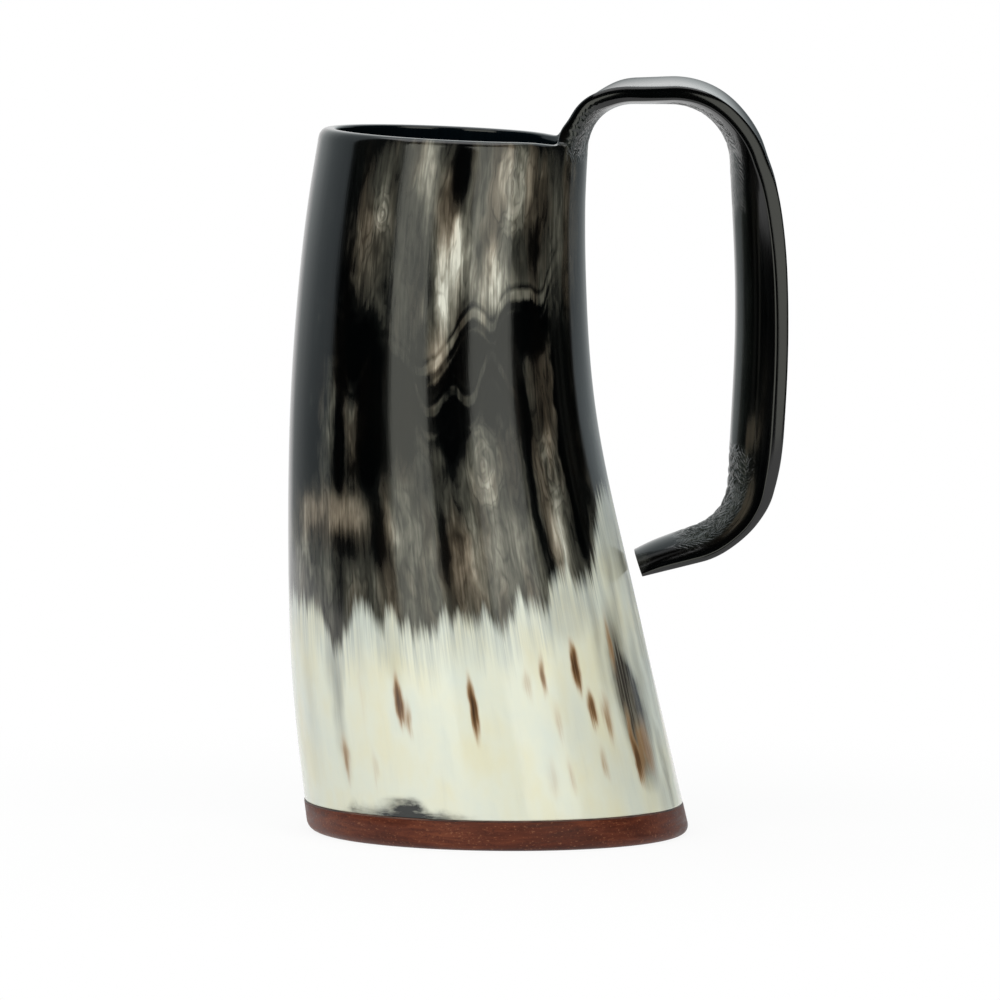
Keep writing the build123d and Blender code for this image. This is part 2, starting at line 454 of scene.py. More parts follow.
# Glue: the dark line under the horn's foot, a little set in, and the sleeve round the spigot
LINE_INSET, SLEEVE_OUTER, SLEEVE_INNER = 0.06, FOOT_WALL - 0.1, FOOT_WALL + 0.3
rows = [(BAND, LINE_INSET), (FOOT, LINE_INSET), (FOOT, FOOT_WALL), (SPIGOT, SLEEVE_OUTER)]
rows += [(SPIGOT, SLEEVE_INNER), (BAND, SHOULDER_INSET)]
glue = link("glue", oval_mesh("glue_bed_ring", rows, closed=True))
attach(glue, "root")
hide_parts("glue_bed")


class Recipe:
    """Builds the nodes of one material or group, a step at a time."""

    def __init__(self, tree):
        self.tree = tree

    def node(self, kind, **settings):
        made = self.tree.nodes.new("ShaderNode" + kind)
        for key, value in settings.items():
            setattr(made, key, value)
        return made

    def feed(self, value, socket):
        """Links a socket to the value, or sets it."""
        if isinstance(value, bpy.types.NodeSocket):
            self.tree.links.new(value, socket)
        else:
            socket.default_value = value

    def fill(self, made, values):
        """Feeds the inputs of a node in order, and gives its outputs."""
        for value, socket in zip(values, made.inputs):
            self.feed(value, socket)
        return made.outputs

    def give(self, made, **values):
        """Feeds the named inputs of a node, with _ for a space in a name, and gives its outputs."""
        for name, value in values.items():
            self.feed(value, made.inputs[name.replace("_", " ")])
        return made.outputs

    def attribute(self, name):
        return self.node("Attribute", attribute_name=name).outputs

    def place(self):
        """Place on the piece, in metres."""
        return self.node("TexCoord").outputs["Object"]

    def maths(self, operation, *values, clamp=False):
        return self.fill(self.node("Math", operation=operation, use_clamp=clamp), values)[0]

    def times(self, first, second, clamp=False):
        return self.maths("MULTIPLY", first, second, clamp=clamp)

    def plus(self, first, second):
        return self.maths("ADD", first, second)

    def minus(self, first, second):
        return self.maths("SUBTRACT", first, second)

    def scaled(self, value, factor, offset):
        """The value times a factor, with an offset added."""
        return self.maths("MULTIPLY_ADD", value, factor, offset)

    def vector(self, operation, *values):
        made = self.fill(self.node("VectorMath", operation=operation), values)
        return made["Value" if operation in ("LENGTH", "DOT_PRODUCT") else "Vector"]

    def join(self, x, y, z=0.0):
        return self.fill(self.node("CombineXYZ"), (x, y, z))[0]

    def split(self, place):
        return self.fill(self.node("SeparateXYZ"), (place,))

    def noise(self, place, stretch, detail=3.0, rough=0.5, shift=(0, 0, 0)):
        """Noise over a place, stretched and shifted."""
        moved = self.vector("MULTIPLY_ADD", place, stretch, shift)
        return self.give(self.node("TexNoise"), Vector=moved, Scale=1, Detail=detail, Roughness=rough)[0]

    def span(self, value, low, high, start=0.0, end=1.0):
        """Eased from start, where the value is low, to end, where it is high; low may be the greater."""
        made = self.node("MapRange", interpolation_type="SMOOTHSTEP")
        return self.give(made, Value=value, From_Min=low, From_Max=high, To_Min=start, To_Max=end)[0]

    def ramp(self, value, stops):
        """Colour read off stops in order, each a place and the colour there."""
        made = self.node("ValToRGB")
        ends = made.color_ramp.elements
        while len(ends) < len(stops):
            ends.new(0.5)
        for end, (place, colour) in zip(ends, stops):
            end.position = place
            end.color = (*colour, 1)
        return self.fill(made, (value,))["Color"]

    def share(self, value, low, high):
        """How far the value lies from low to high."""
        return self.scaled(value, 1 / (high - low), -low / (high - low))

    def profile(self, value, stops):
        """Value read off a profile of stops in order, each a place and the level there."""
        low, high = stops[0][0], stops[-1][0]
        levels = [((place - low) / (high - low), (level,) * 3) for place, level in stops]
        return self.ramp(self.share(value, low, high), levels)

    def mix(self, share, first, second):
        """The first colour with a share of the second."""
        made = self.node("Mix", data_type="RGBA")
        self.feed(share, made.inputs["Factor"])
        for value, name in ((first, "A_Color"), (second, "B_Color")):
            socket = next(i for i in made.inputs if i.identifier == name)
            self.feed(value if isinstance(value, bpy.types.NodeSocket) else (*value, 1), socket)
        return next(o for o in made.outputs if o.identifier == "Result_Color")

    def line(self, value, low, high, points):
        """Curve drawn through points, over a range of values and heights given as low and high corners."""
        made = self.node("FloatCurve")
        drawn = made.mapping.curves[0].points
        wide, tall = high[0] - low[0], high[1] - low[1]
        places = [((x - low[0]) / wide, (y - low[1]) / tall) for x, y in points]
        while len(drawn) < len(places):
            drawn.new(0.5, 0.5)
        for point, place in zip(drawn, places):
            point.location = place
            point.handle_type = "AUTO_CLAMPED"
        made.mapping.update()
        height = self.give(made, Value=self.share(value, low[0], high[0]))[0]
        return self.scaled(height, tall, low[1])

    def bump(self, height, strength, distance):
        """Normal of a surface raised by a height."""
        return self.give(self.node("Bump"), Strength=strength, Distance=distance, Height=height)[0]


def material(name, kind=Recipe):
    """A new material, with the recipe for its nodes and its shader."""
    made = bpy.data.materials.new(name)
    made.use_nodes = True
    return made, kind(made.node_tree), made.node_tree.nodes["Principled BSDF"]


# Radians of the rings' wave from the centre of a mark to its edge
RING_WAVE = 15.0


def figure_mark_group():
    """Node group: a soft oval mark of the horn's figure, 1 inside and 0 outside, with rings in it."""
    group = bpy.data.node_groups.new("figure_mark", "ShaderNodeTree")
    for name, kind in (("Place", "Vector"), ("Centre", "Vector"), ("Size", "Vector"), ("Soft", "Float")):
        group.interface.new_socket(name, in_out="INPUT", socket_type="NodeSocket" + kind)
    for name in ("Mask", "Rings"):
        group.interface.new_socket(name, in_out="OUTPUT", socket_type="NodeSocketFloat")
    recipe = Recipe(group)
    given = group.nodes.new("NodeGroupInput").outputs
    away = recipe.vector("SUBTRACT", given["Place"], given["Centre"])
    reach = recipe.vector("LENGTH", recipe.vector("DIVIDE", away, given["Size"]))
    inner = recipe.minus(1.0, given["Soft"])
    outer = recipe.plus(1.0, given["Soft"])
    mask = recipe.span(reach, inner, outer, 1.0, 0.0)
    wave = recipe.maths("SINE", recipe.times(reach, RING_WAVE))
    recipe.give(group.nodes.new("NodeGroupOutput"), Mask=mask, Rings=recipe.times(wave, mask))
    return group


FIGURE_MARK = figure_mark_group()

# Marks of the horn's figure, placed on its front; the back shows them mirrored and moved. Each is
# across (-30 to 30) and up in millimetres, half width, half height, softness and strength.
# Wide soft clouds, lighter or darker
CLOUDS = (
    (11, 138, 9, 18, 0.5, 0.25), (1, 138, 4.5, 16, 0.6, 0.18), (-15.5, 131, 4, 13, 0.6, 0.2),
    (20, 140, 5, 12, 0.6, 0.08), (19.5, 128, 3.2, 8, 0.9, -0.03), (11, 121, 5, 5, 0.5, 0.08),
    # The cloud at -7 across and 140 up is lighter figure and also a painted highlight at the top of the left
    # lamp's reflection
    (-7, 140, 5, 16, 0.6, 0.15), (17, 124, 4, 6, 0.5, 0.06), (20, 108, 4, 14, 0.6, 0.06),
    (-16.5, 105, 4.6, 9, 0.4, -0.2), (-14, 89, 2.6, 12, 0.5, -0.22), (2, 93, 2.6, 9, 0.5, -0.22),
    (24, 88, 1.8, 22, 0.4, -0.5), (-24, 72, 5.5, 7, 0.6, 0.05), (-20, 98, 6, 16, 0.9, 0.07),
    (-18, 64, 6, 4, 0.8, -0.11), (7, 70, 7, 22, 0.6, 0.1), (19, 78, 4, 18, 0.6, 0.1),
    (18.5, 113, 3.5, 6, 0.4, -0.25), (-26, 115, 4, 34, 0.4, -0.12), (-8, 74, 3.6, 9, 0.6, 0.17),
    (-8, 116, 4, 8, 0.8, 0.15), (11, 59, 2.6, 6, 0.9, -0.05), (17.8, 132, 3.2, 8, 0.6, -0.15),
    (-19.6, 119, 2.2, 7, 0.6, -0.16), (25.5, 134, 3, 17, 0.6, 0.16), (22, 126, 2, 9, 0.7, 0.09),
    (-22.4, 98, 1.8, 12, 0.8, 0.08), (7.5, 60, 4, 7, 0.7, 0.1),
)
# Light and dark patches of the dark horn
PATCHES = (
    (-25.4, 72, 1.9, 3.4, 0.6, 0.22), (-21.6, 72.4, 2, 4, 0.6, 0.21), (-17.6, 72.4, 1.9, 3.8, 0.6, 0.22),
    (-16.8, 130, 1.6, 8, 0.7, 0.08), (-14.4, 135, 1, 2.8, 0.9, 0.16), (-13.4, 147, 2, 6, 0.7, 0.12),
    # The patch at -5.4 across and 147 up is lighter figure and also a painted highlight at the top of the
    # left lamp's reflection
    (-5.4, 147, 2.2, 6.5, 0.3, 0.22), (2.6, 146, 1.7, 6, 0.9, -0.5), (3.3, 134.5, 1.2, 3.5, 0.6, 0.3),
    (1.8, 125, 3.2, 9, 0.5, 0.34), (0, 123, 1.5, 9, 0.6, 0.2), (-0.3, 112, 2, 9, 0.6, 0.31),
    (1.8, 115, 0.5, 5, 0.8, -0.1), (-2.6, 121, 1.2, 8, 0.6, 0.05), (-1.6, 106, 1.3, 6, 0.7, 0.17),
    (1.2, 114, 1.5, 4, 0.7, 0.16), (0.2, 75, 1.6, 5, 0.8, 0.14), (3.6, 79, 1.5, 6, 0.8, 0.11),
    (1, 58, 2, 5, 0.8, 0.1), (10.5, 80, 2, 8, 0.8, 0.07), (15, 78, 1.6, 7, 0.8, 0.07),
    (-22.4, 60, 1.4, 6, 0.8, 0.1), (10.6, 124.5, 2.4, 7, 0.5, 0.47), (6.6, 124.5, 0.9, 4, 0.6, 0.22),
    (6, 143, 0.7, 6, 0.7, -0.14), (-18.2, 92, 1.3, 7, 0.9, 0.16), (-23.5, 118, 0.6, 14, 0.8, 0.1),
    (20.3, 112, 0.8, 6, 0.9, 0.13), (21.6, 103, 1.4, 7, 0.9, 0.1), (-20.2, 87, 0.9, 10, 0.6, -0.3),
    (16.2, 92, 0.8, 8, 0.6, -0.35), (15.8, 74, 0.7, 9, 0.6, -0.3), (16.8, 62, 0.9, 7, 0.6, -0.22),
    (-19.2, 65, 1.6, 2, 0.9, -0.1), (-13.2, 67, 1.3, 7, 0.6, -0.2), (19.2, 66, 1.1, 9, 0.6, 0.26),
    (-1.6, 66, 0.9, 12, 0.7, -0.22), (1.6, 58, 0.9, 6, 0.7, -0.07), (-21, 55, 1.4, 8, 0.7, -0.15),
    (22.6, 66, 1.2, 6, 0.7, -0.15), (-15.5, 92, 1.2, 7, 0.9, 0.12), (-21, 96, 1, 9, 0.9, 0.1),
    (-12.6, 82, 1, 5, 0.9, 0.12), (-23, 86, 1.2, 9, 0.9, 0.1), (0.4, 97.5, 2.2, 1.5, 0.9, 0.14),
    (-2, 80, 1.2, 7, 0.9, 0.1), (13.4, 88, 0.7, 8, 0.9, 0.1), (17.5, 104, 0.6, 7, 0.9, 0.12),
    (22.4, 92, 0.9, 9, 0.9, 0.07),
)
# Ovals of the figure, and the strength of the rings in them
OVALS = (
    (14.1, 143, 3.8, 9.5, 0.3, 0.18), (7.4, 83.5, 3.4, 8.5, 0.3, 0.22), (19.7, 82, 2.2, 8, 0.4, 0.14),
    (-13.6, 137, 1.8, 4, 0.6, 0.11), (1.6, 91, 1.5, 3.2, 0.6, 0.11),
)
OVAL_RINGS = 0.052
# Where the dark horn is browner
BROWNS = (
    (-22.5, 71, 7.5, 6, 0.7, 0.9), (0.5, 63, 2.2, 8, 0.8, 0.9), (0.6, 139, 2.4, 8, 0.8, 0.8),
    (-0.8, 106, 2, 6, 0.8, 0.8), (20.5, 100, 2.6, 10, 0.8, 0.8), (-17, 128, 4, 9, 0.8, 0.5),
)
# Flecks of brown in the cream horn
FLECKS = (
    (-12.2, 32, 0.58, 4.4, 0.95, 0.85), (-11, 28, 0.5, 3.6, 0.95, 0.42), (-0.3, 31, 0.56, 5.6, 0.95, 0.9),
    (17.8, 39.5, 0.6, 4.4, 0.95, 0.9), (12.2, 38, 0.5, 3.8, 0.95, 0.55), (9.4, 36, 0.7, 3.2, 0.95, 0.32),
    (13.3, 28, 0.6, 3.8, 0.95, 0.3), (19.3, 30, 0.6, 3.2, 0.95, 0.7), (21.3, 28, 0.7, 4.8, 0.95, 0.42),
    (19.4, 18.5, 0.5, 3.4, 0.9, 0.36), (10.8, 15, 0.9, 5, 0.9, 0.2), (13.6, 15.5, 0.5, 4, 0.9, 0.3),
    (24.6, 22, 0.4, 6, 0.9, 0.6), (-22, 18.5, 0.55, 4.4, 0.9, 0.45), (-18.2, 33, 0.5, 7, 0.9, 0.14),
    (26.3, 21, 0.8, 5, 0.9, 0.5), (24.2, 44, 0.35, 6, 0.9, 0.45), (-17.5, 17, 0.5, 4, 0.9, 0.22),
    (25, 17, 0.5, 4, 0.9, 0.5),
)
# Grey streaks in the cream horn
STREAKS = (
    (25.1, 35, 1.5, 15, 0.6, 0.95), (26.1, 25, 1.3, 11, 0.6, 0.95), (-22.4, 38, 1, 9, 0.9, 0.45),
    (-22.2, 24, 0.8, 8, 0.95, 0.22), (28.6, 15, 0.3, 9, 0.9, 0.45), (22.2, 40, 0.8, 9, 0.9, 0.22),
    (17.5, 51, 3.4, 6, 0.5, 0.2), (27.8, 34, 0.7, 12, 0.9, 0.4), (-27, 36, 0.8, 8, 0.9, 0.12),
    (-12.3, 42, 0.9, 6, 0.9, 0.18), (28.5, 68, 1.1, 12, 0.9, 0.35), (26.6, 57, 0.5, 9, 0.9, 0.4),
    (29.3, 50, 0.35, 20, 0.9, 0.45), (22.5, 52, 0.6, 7, 0.9, 0.3), (15, 27, 3, 8, 0.9, 0.07),
    (21, 17, 2.6, 7, 0.9, 0.08), (11, 44, 1.6, 6, 0.9, 0.1), (0, 44, 2, 5, 0.9, 0.07),
    (-18, 42, 1.4, 6, 0.9, 0.1), (-6, 42, 0.9, 5, 0.9, 0.08), (-27, 22, 0.9, 9, 0.9, 0.1),
    (27.6, 10, 0.9, 4, 0.9, 0.22),
)
# The smudge at the foot
SMUDGE = (
    (-13.8, 6.4, 3.2, 3, 0.7, 0.85), (-13.4, 8.6, 1.8, 0.8, 0.9, 0.35), (-9.8, 6.6, 4.6, 1.2, 0.9, 0.75),
    (-18.6, 6.6, 3.2, 1.4, 0.9, 0.6), (-21.8, 7.4, 0.7, 1, 0.9, 0.4),
)
# Brown glow of the horn by the bend above the hook, in millimetres from the strip's middle and along it
GLOW = (
    (-12.2, RIM + 101, 1.3, 5, 0.9, 0.22), (-12.6, RIM + 116, 1.1, 6, 0.9, 0.27),
    (-10.6, RIM + 106, 0.6, 7, 0.9, 0.17), (-13.8, RIM + 92, 0.7, 9, 0.9, 0.12),
)
# Two growth lines of the dark horn, across and up, and the corners of the field they are drawn in
GROWTH = (
    (-30, 118), (-23, 116), (-20, 114), (-17.5, 112.5), (-15, 117), (-12, 123), (-8, 114), (-4, 103),
    (-2, 104), (0, 106), (2.5, 110), (5, 114.5), (6.5, 116), (8.5, 115), (10.5, 112.8), (12, 117),
    (14, 119.6), (18, 120), (20, 118.6), (22, 123), (25, 128), (30, 124),
)
OLDER_GROWTH = (
    (-30, 101), (-24, 104), (-20, 104.5), (-17.8, 99), (-15.5, 103), (-12, 109), (-9, 108), (-6, 104),
    (-4, 96.5), (-2.6, 94.6), (1, 98), (2.4, 99.6), (5, 97), (8.5, 104), (10, 107), (12, 104), (15, 98),
    (18, 96), (22, 100), (30, 104),
)
GROWTH_FIELD = ((-30, 90), (30, 150))
# Light and dark across each growth line, in millimetres up from it; 0.5 leaves the horn as it is
GROWTH_BANDS = (
    (-12, 0.5), (-9, 0.42), (-4.2, 0.4), (-3, 0.56), (-2.2, 0.42), (-1.3, 0.38), (-0.2, 0.7), (1.2, 0.7),
    (2.2, 0.42), (3.4, 0.6), (6, 0.56), (10, 0.5),
)
OLDER_BANDS = (
    (-9, 0.5), (-6.2, 0.46), (-5.2, 0.56), (-4, 0.45), (-1.6, 0.4), (-0.6, 0.7), (1, 0.74), (2.2, 0.42),
    (3.4, 0.56), (4.6, 0.47), (8, 0.5),
)
# How strongly each growth line shows at places across
GROWTH_REACH = (
    (-30, 0), (-25, 0.1), (-20, 0.25), (-15, 0.25), (-11, 0), (-6, 0), (-3, 1), (20, 1), (25, 0), (30, 0),
)
OLDER_REACH = (
    (-30, 0), (-25, 0), (-21, 0.15), (-17, 0.5), (-12, 0.2), (-6, 0.2), (-3, 1), (5, 1), (9, 0.8), (13, 0.4),
    (17, 0), (30, 0),
)
# Edge of the cream horn, across and up, and the corners of its field
CREAM_EDGE = (
    (-30, 52), (-27, 51), (-24.5, 49.5), (-23.2, 46), (-21.8, 42.5), (-20.4, 45), (-18.6, 51), (-16, 51.6),
    (-14, 47.7), (-12.4, 51.6), (-10, 47.4), (-7, 46.4), (-4, 48.8), (0, 50.5), (3.5, 51), (6.5, 47.6),
    (8.6, 50), (11, 54), (13.5, 52), (16, 56), (19, 60), (21.5, 57), (24, 60), (26, 68), (28, 75), (30, 76),
)
EDGE_FIELD = ((-30, 40), (30, 80))

# Colours of the dark horn by how light it is, and of its browner layers
DARK_HORN = (
    (0.0, (0.0003, 0.0005, 0.0006)), (0.12, (0.0034, 0.0038, 0.0036)), (0.30, (0.050, 0.049, 0.040)),
    (0.50, (0.15, 0.144, 0.117)), (0.75, (0.38, 0.365, 0.31)), (1.0, (0.72, 0.71, 0.63)),
)
BROWN_HORN = (
    (0.0, (0.0012, 0.0010, 0.0008)), (0.12, (0.0050, 0.0038, 0.0028)), (0.30, (0.056, 0.044, 0.031)),
    (0.60, (0.24, 0.195, 0.145)), (1.0, (0.68, 0.61, 0.50)),
)
# Dull horn of the folds and the grip, lightened grey-teal as a painted sheen, and the painted near-black
# shade inside the cup
DULL_HORN_SHEEN = ((0.3, (0.010, 0.013, 0.012)), (0.7, (0.040, 0.046, 0.041)))
BORE_SHADE = ((0.3, (0.001, 0.0025, 0.004)), (0.7, (0.002, 0.005, 0.007)))
# Cream horn from cool to warm, its greyer fibres, grey streaks, brown flecks, smudge and fringe
CREAM_HORN = ((0.30, (0.72, 0.755, 0.68)), (0.48, (0.77, 0.78, 0.665)), (0.68, (0.78, 0.755, 0.58)))
CREAM_FIBRE = (0.62, 0.64, 0.58)
SOOT = ((0.35, (0.030, 0.028, 0.027)), (0.65, (0.085, 0.070, 0.056)))
FLECK_BROWN = (
    (0.0, (0.66, 0.54, 0.38)), (0.35, (0.40, 0.25, 0.13)), (0.70, (0.15, 0.080, 0.038)),
    (1.0, (0.045, 0.026, 0.015)),
)
SMUDGE_BLACK = (0.020, 0.022, 0.021)
FRINGE_GREY = (0.385, 0.42, 0.415)

# The figure on the back: its scale across, where less than 0 is mirrored, how far it is moved across and
# up, and the width of the plain seam between front and back
BACK_SCALE, BACK_ACROSS, BACK_UP, SEAM = -0.9, 3.0, 6.0, 5.0
# Rises between which the dark horn gets lighter, the figure ends in the black handle and the painted shade
# inside the cup ends, and between which the grip's crest gets its painted sheen
LIGHTER, HANDLE_BLACK, BORE_SHADE_END = (86.0, 62.0), (150.0, 158.0), (154.0, 152.8)
GRIP_START, GRIP_END = RIM + 25, RIM + STRIP_LENGTH - 28
# The cream horn's ragged edge: its blend into the dark horn and the width of its fringe, in millimetres
EDGE_BLEND, FRINGE = (-3.0, 2.6), 13.0
# Fine lines between the folds: their spacing in millimetres and their height in metres
FOLD_LINE, FOLD_LINE_HEIGHT = 1.05, 0.00030
HORN_IOR = 1.54


class HornLook(Recipe):
    """Recipe of the horn's look, with the places on the horn and the fibres that its parts share."""

    def __init__(self, tree):
        super().__init__(tree)
        self.grain = self.attribute("grain")["Vector"]
        self.depth = self.attribute("depth")["Fac"]
        self.folds = self.attribute("fold")["Fac"]
        self.across, self.toward, self.up = self.split(self.grain)
        self.off_middle = self.maths("ABSOLUTE", self.toward)

        # Places of the figure on the front and the back, and where it is clear of the seam between them
        back = self.maths("GREATER_THAN", self.toward, 0.0)
        scale = self.scaled(back, BACK_SCALE - 1, 1.0)
        moved = self.times(back, BACK_ACROSS)
        self.beside = self.scaled(self.across, scale, moved)
        self.height = self.scaled(back, BACK_UP, self.up)
        self.clear = self.span(self.off_middle, 0.0, SEAM)

        # Lengthwise fibres, slower streaks and clouds, and the way they pull the figure out
        self.fibre = self.noise(self.grain, (2.2, 2.2, 0.06), 5, 0.6)
        self.streak = self.noise(self.grain, (0.60, 0.60, 0.05), 4, 0.6, (40, 0, 0))
        self.cloud = self.noise(self.grain, (0.16, 0.16, 0.07), 3, 0.5, (0, 70, 0))
        side = self.noise(self.grain, (0.25, 0.25, 0.12), 2, 0.5, (0, 0, 90))
        streaks = self.scaled(self.streak, 6.0, -4.75)
        self.pull = self.scaled(self.fibre, 3.5, streaks)
        self.drift = self.scaled(side, 3.0, -1.5)

        # Smoke and layers of the dark horn, which drift with them, and the curl of fine lines
        wavy = self.vector("ADD", self.grain, self.join(self.drift, 0.0))
        self.smoke = self.noise(wavy, (0.42, 0.42, 0.075), 5, 0.55, (9, 0, 0))
        self.layer = self.noise(wavy, (0.24, 0.24, 0.040), 2, 0.45, (27, 0, 0))
        curl = self.noise(self.grain, (0.45, 0.45, 0.45), 3, 0.55, (12, 0, 30))
        self.curl = self.minus(curl, 0.5)

    def pulled(self, aside, along):
        """Place of the figure, drawn a share of the drift aside and of the pull along."""
        x, y = self.scaled(self.drift, aside, self.beside), self.scaled(self.pull, along, self.height)
        return self.join(x, y)

    def marks(self, place, table, value=0.0, rings=0.0):
        """The value with every mark of a table added, and the rings in them at a strength."""
        for across, up, wide, high, soft, strength in table:
            made = self.node("Group", node_tree=FIGURE_MARK)
            mark = self.give(made, Place=place, Centre=(across, up, 0), Size=(wide, high, 1), Soft=soft)
            value = self.scaled(mark["Mask"], strength, value)
            if rings:
                value = self.scaled(mark["Rings"], rings, value)
        return value

    def shown(self, place, table, rings=0.0, clamp=False):
        """Marks of a table, clear of the seam."""
        return self.times(self.marks(place, table, rings=rings), self.clear, clamp=clamp)

    def dark_light(self):
        """How light the dark horn is, from its marks, smoke, layers and growth lines."""
        light = self.span(self.up, *LIGHTER, 0.08, 0.31)
        light = self.plus(light, self.span(self.cloud, 0.52, 0.78, 0.0, 0.20))
        marked = self.marks(self.pulled(1.0, 0.9), CLOUDS)
        marked = self.marks(self.pulled(0.5, 0.5), PATCHES, marked)
        ovals = self.shown(self.pulled(0.4, 0.2), OVALS, OVAL_RINGS)
        light = self.scaled(marked, self.clear, self.plus(light, ovals))
        tone = self.maths("MAXIMUM", self.plus(light, 0.06), 0.04)
        light = self.scaled(self.scaled(self.smoke, 1.7, -0.85), tone, light)

        # Lines of the layers, which run round the ovals
        level = self.scaled(self.layer, 1.2, ovals)
        level = self.scaled(level, 24.0, self.times(self.fibre, 2.0))
        ring = self.maths("ABSOLUTE", self.maths("SINE", level))
        light = self.scaled(self.span(ring, 0.0, 0.9, -0.11, 0.055), tone, light)

        # The zigzag growth lines, broken along the streaks
        raised = self.scaled(self.pull, 0.18, self.height)
        broken = self.span(self.streak, 0.30, 0.60, 0.45, 1.15)
        for points, bands, reach in (
            (GROWTH, GROWTH_BANDS, GROWTH_REACH), (OLDER_GROWTH, OLDER_BANDS, OLDER_REACH),
        ):
            away = self.minus(raised, self.line(self.beside, *GROWTH_FIELD, points))
            band = self.minus(self.profile(away, bands), 0.5)
            band = self.times(self.times(band, broken), self.profile(self.beside, reach))
            light = self.scaled(band, self.clear, light)
        return self.times(light, self.span(self.fibre, 0.25, 0.75, 0.80, 1.20))

    def dark_horn(self):
        """Colour of the dark horn and of the handle, which is nearly black with a brown glow."""
        strip = self.span(self.up, *HANDLE_BLACK)
        light = self.times(self.dark_light(), self.scaled(strip, -0.95, 1.0))
        inner_side = self.span(self.depth, 0.5, 0.1)
        glow = self.times(self.marks(self.join(self.toward, self.up), GLOW), inner_side)
        light = self.scaled(glow, self.span(self.streak, 0.3, 0.6, 0.3, 1.2), light)
        colour, brown = self.ramp(light, DARK_HORN), self.ramp(light, BROWN_HORN)
        colour = self.mix(self.span(self.layer, 0.45, 0.70, 0.0, 0.7), colour, brown)
        colour = self.mix(self.shown(self.pulled(1.0, 0.9), BROWNS, clamp=True), colour, brown)
        colour = self.mix(self.times(glow, 3.0, clamp=True), colour, brown)

        # Dull where it is folded, with a painted grey-teal sheen there, and a painted sheen along the crest
        # of the grip's inner face
        dull = self.ramp(self.smoke, DULL_HORN_SHEEN)
        colour = self.mix(self.times(self.folds, 1.8, clamp=True), colour, dull)
        # Painted sheen along the crest of the grip's inner face: its middle lightened to the dull grey-teal
        grip_sheen = self.times(self.span(self.off_middle, 12.0, 6.0, 0.0, 0.7), inner_side)
        grip_sheen = self.times(grip_sheen, self.span(self.up, GRIP_START, GRIP_START + 20))
        grip_sheen = self.times(grip_sheen, self.span(self.up, GRIP_END, GRIP_END - 16))
        return self.mix(grip_sheen, colour, dull)

    def cream_horn(self):
        """Colour of the cream horn: warm and cool clouds, grey streaks, brown flecks and the smudge."""
        colour = self.ramp(self.cloud, CREAM_HORN)
        colour = self.mix(self.span(self.streak, 0.50, 0.80, 0.0, 0.24), colour, CREAM_FIBRE)
        greyed = self.shown(self.pulled(0.4, 0.3), STREAKS, clamp=True)
        greyed = self.times(greyed, self.span(self.fibre, 0.30, 0.62, 0.80, 1.1), clamp=True)
        colour = self.mix(greyed, colour, self.ramp(self.streak, SOOT))
        flecked = self.shown(self.pulled(0.4, 1.0), FLECKS)
        flecked = self.times(flecked, self.span(self.fibre, 0.30, 0.60, 0.80, 1.12), clamp=True)
        colour = self.mix(self.span(flecked, 0.0, 0.6), colour, self.ramp(flecked, FLECK_BROWN))
        blot = self.join(self.scaled(self.curl, 2.4, self.beside), self.scaled(self.curl, 1.8, self.height))
        wisp = self.noise(self.grain, (0.35, 0.35, 1.4), 4, 0.6, (0, 33, 0))
        smudged = self.times(self.shown(blot, SMUDGE), self.span(wisp, 0.36, 0.62, 0.78, 1.2), clamp=True)
        return self.mix(smudged, colour, SMUDGE_BLACK)

    def figure(self):
        """Colour of the horn: dark above, cream below a ragged edge, and painted near-black shade inside the
        cup.
        """
        strand = self.noise(self.grain, (0.75, 0.75, 0.030), 5, 0.62, (0, 0, 50))
        hair = self.noise(self.grain, (2.4, 2.4, 0.045), 3, 0.6, (0, 0, 20))
        ragged = self.scaled(strand, 13.0, self.scaled(hair, 6.0, -9.5))
        edge = self.line(self.across, *EDGE_FIELD, CREAM_EDGE)
        edge = self.minus(edge, self.plus(ragged, self.up))
        fringe = self.times(self.span(edge, FRINGE, 0.0), self.span(hair, 0.35, 0.65, 0.18, 0.72))
        cream = self.mix(fringe, self.cream_horn(), FRINGE_GREY)
        colour = self.mix(self.span(edge, *EDGE_BLEND), self.dark_horn(), cream)
        # Painted shade inside the cup: the bore's face below the lip goes near-black
        inside = self.times(self.span(self.depth, 0.55, 0.95), self.span(self.up, *BORE_SHADE_END))
        return self.mix(inside, colour, self.ramp(self.fibre, BORE_SHADE))

    def relief(self):
        """Height of the fine herringbone lines between the folds, and of the figure's faint relief."""
        zigzag = self.maths("PINGPONG", self.scaled(self.drift, 1.2, self.toward), 2.6)
        slanted = self.plus(zigzag, self.scaled(self.curl, 2.2, self.up))
        lines = self.maths("ABSOLUTE", self.maths("SINE", self.times(slanted, pi / FOLD_LINE)))
        lines = self.times(lines, self.times(self.folds, 1.6, clamp=True))
        return self.scaled(self.streak, 0.06, lines)


def horn_material():
    """Polished horn: black with taupe figure above, cream with brown flecks below, painted shade inside."""
    made, look, shader = material("horn_polished", HornLook)
    polish = look.span(look.fibre, 0.2, 0.8, 0.09, 0.15)
    look.give(
        shader, Base_Color=look.figure(), Roughness=look.scaled(look.folds, 0.15, polish), IOR=HORN_IOR,
        Normal=look.bump(look.relief(), 1, FOLD_LINE_HEIGHT),
    )
    return made


# Colours of the wood along its grain, of its pores and of its flecks
WOOD = ((0.32, (0.040, 0.010, 0.006)), (0.50, (0.098, 0.023, 0.011)), (0.68, (0.190, 0.052, 0.024)))
WOOD_PORE, WOOD_FLECK = (0.035, 0.009, 0.006), (0.330, 0.130, 0.065)


